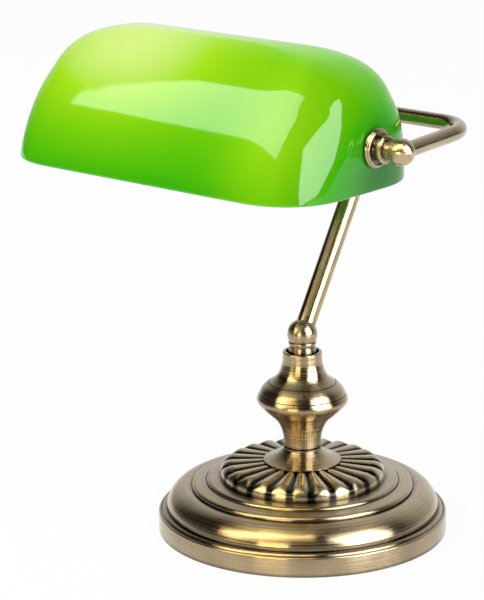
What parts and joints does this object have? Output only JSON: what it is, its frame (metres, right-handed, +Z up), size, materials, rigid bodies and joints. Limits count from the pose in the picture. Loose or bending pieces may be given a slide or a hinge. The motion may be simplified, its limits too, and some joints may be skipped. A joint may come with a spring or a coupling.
{
  "type": "banker desk lamp",
  "caption": "Banker desk lamp: weighted brass base, turned column, bent stem on a ball knuckle, U-shaped yoke and a tilting green cased-glass shade.",
  "frame": {"origin": "centre of the underside of the base, on the rest face of the felt pad", "axes": "+Z up; the shade's long axis along X; the front of the shade towards -Y; the cord gland towards +Y"},
  "size_m": [0.281, 0.2391, 0.3235],
  "materials": {
    "aged_brass": "satin, antiqued and brushed",
    "pale_brass": "satin, pale antiqued",
    "felt": "felt",
    "cast_iron": "rough cast",
    "zinced_steel": "zinc plated",
    "black_plastic": "moulded",
    "rubber": "matte",
    "phenolic": "moulded phenolic",
    "ceramic": "unglazed",
    "contact_brass": "bright",
    "bulb_glass": "frosted",
    "green_glass": "glossy cased glass, green over white"
  },
  "bodies": {
    "base": {"felt_pad": "felt", "base_cover": "aged_brass", "base_weight": "cast_iron", "bottom_plate": "zinced_steel", "cord_gland": "black_plastic", "pipe_washer": "zinced_steel", "pipe_nut": "zinced_steel", "lamp_pipe": "zinced_steel", "fluted_collar": "aged_brass", "foot_flare": "aged_brass", "column_cup": "aged_brass", "column_bell": "aged_brass", "swivel_neck": "aged_brass"},
    "swivel": {"swivel_ring": "aged_brass", "swivel_stud": "zinced_steel", "stud_nut": "zinced_steel"},
    "arm": {"stem_ball": "aged_brass", "knuckle_pin": "aged_brass", "stem_tube": "aged_brass", "yoke_hub": "pale_brass", "yoke_bar": "pale_brass", "pivot_ball_left": "pale_brass", "pivot_bush_left": "pale_brass", "pivot_ball_right": "pale_brass", "pivot_bush_right": "pale_brass"},
    "shade": {"glass_shade": "green_glass", "jam_nut": "zinced_steel", "holder_cap": "phenolic", "holder_body": "phenolic", "holder_insert": "ceramic", "screw_shell": "contact_brass", "centre_contact": "contact_brass", "bulb_cap": "contact_brass", "bulb_glass": "bulb_glass", "pivot_nipple_left": "pale_brass", "cup_washer_left": "pale_brass", "outer_gasket_left": "rubber", "locknut_left": "pale_brass", "inner_gasket_left": "rubber", "inner_washer_left": "zinced_steel", "pivot_nipple_right": "pale_brass", "cup_washer_right": "pale_brass", "outer_gasket_right": "rubber", "locknut_right": "pale_brass", "inner_gasket_right": "rubber", "inner_washer_right": "zinced_steel"}
  },
  "joints": [
    {"name": "column_swivel", "type": "hinge", "parent": "base", "child": "swivel", "pos_m": [0, 0, 0.1182], "axis": [0, 0, 1], "range_deg": [-170, 170]},
    {"name": "stem_tilt", "type": "hinge", "parent": "swivel", "child": "arm", "pos_m": [0, 0, 0.1257], "axis": [1, 0, 0], "range_deg": [-25, 30]},
    {"name": "shade_tilt", "type": "hinge", "parent": "arm", "child": "shade", "pos_m": [0, -0.07835, 0.27174], "axis": [1, 0, 0], "range_deg": [-40, 40]}
  ]
}
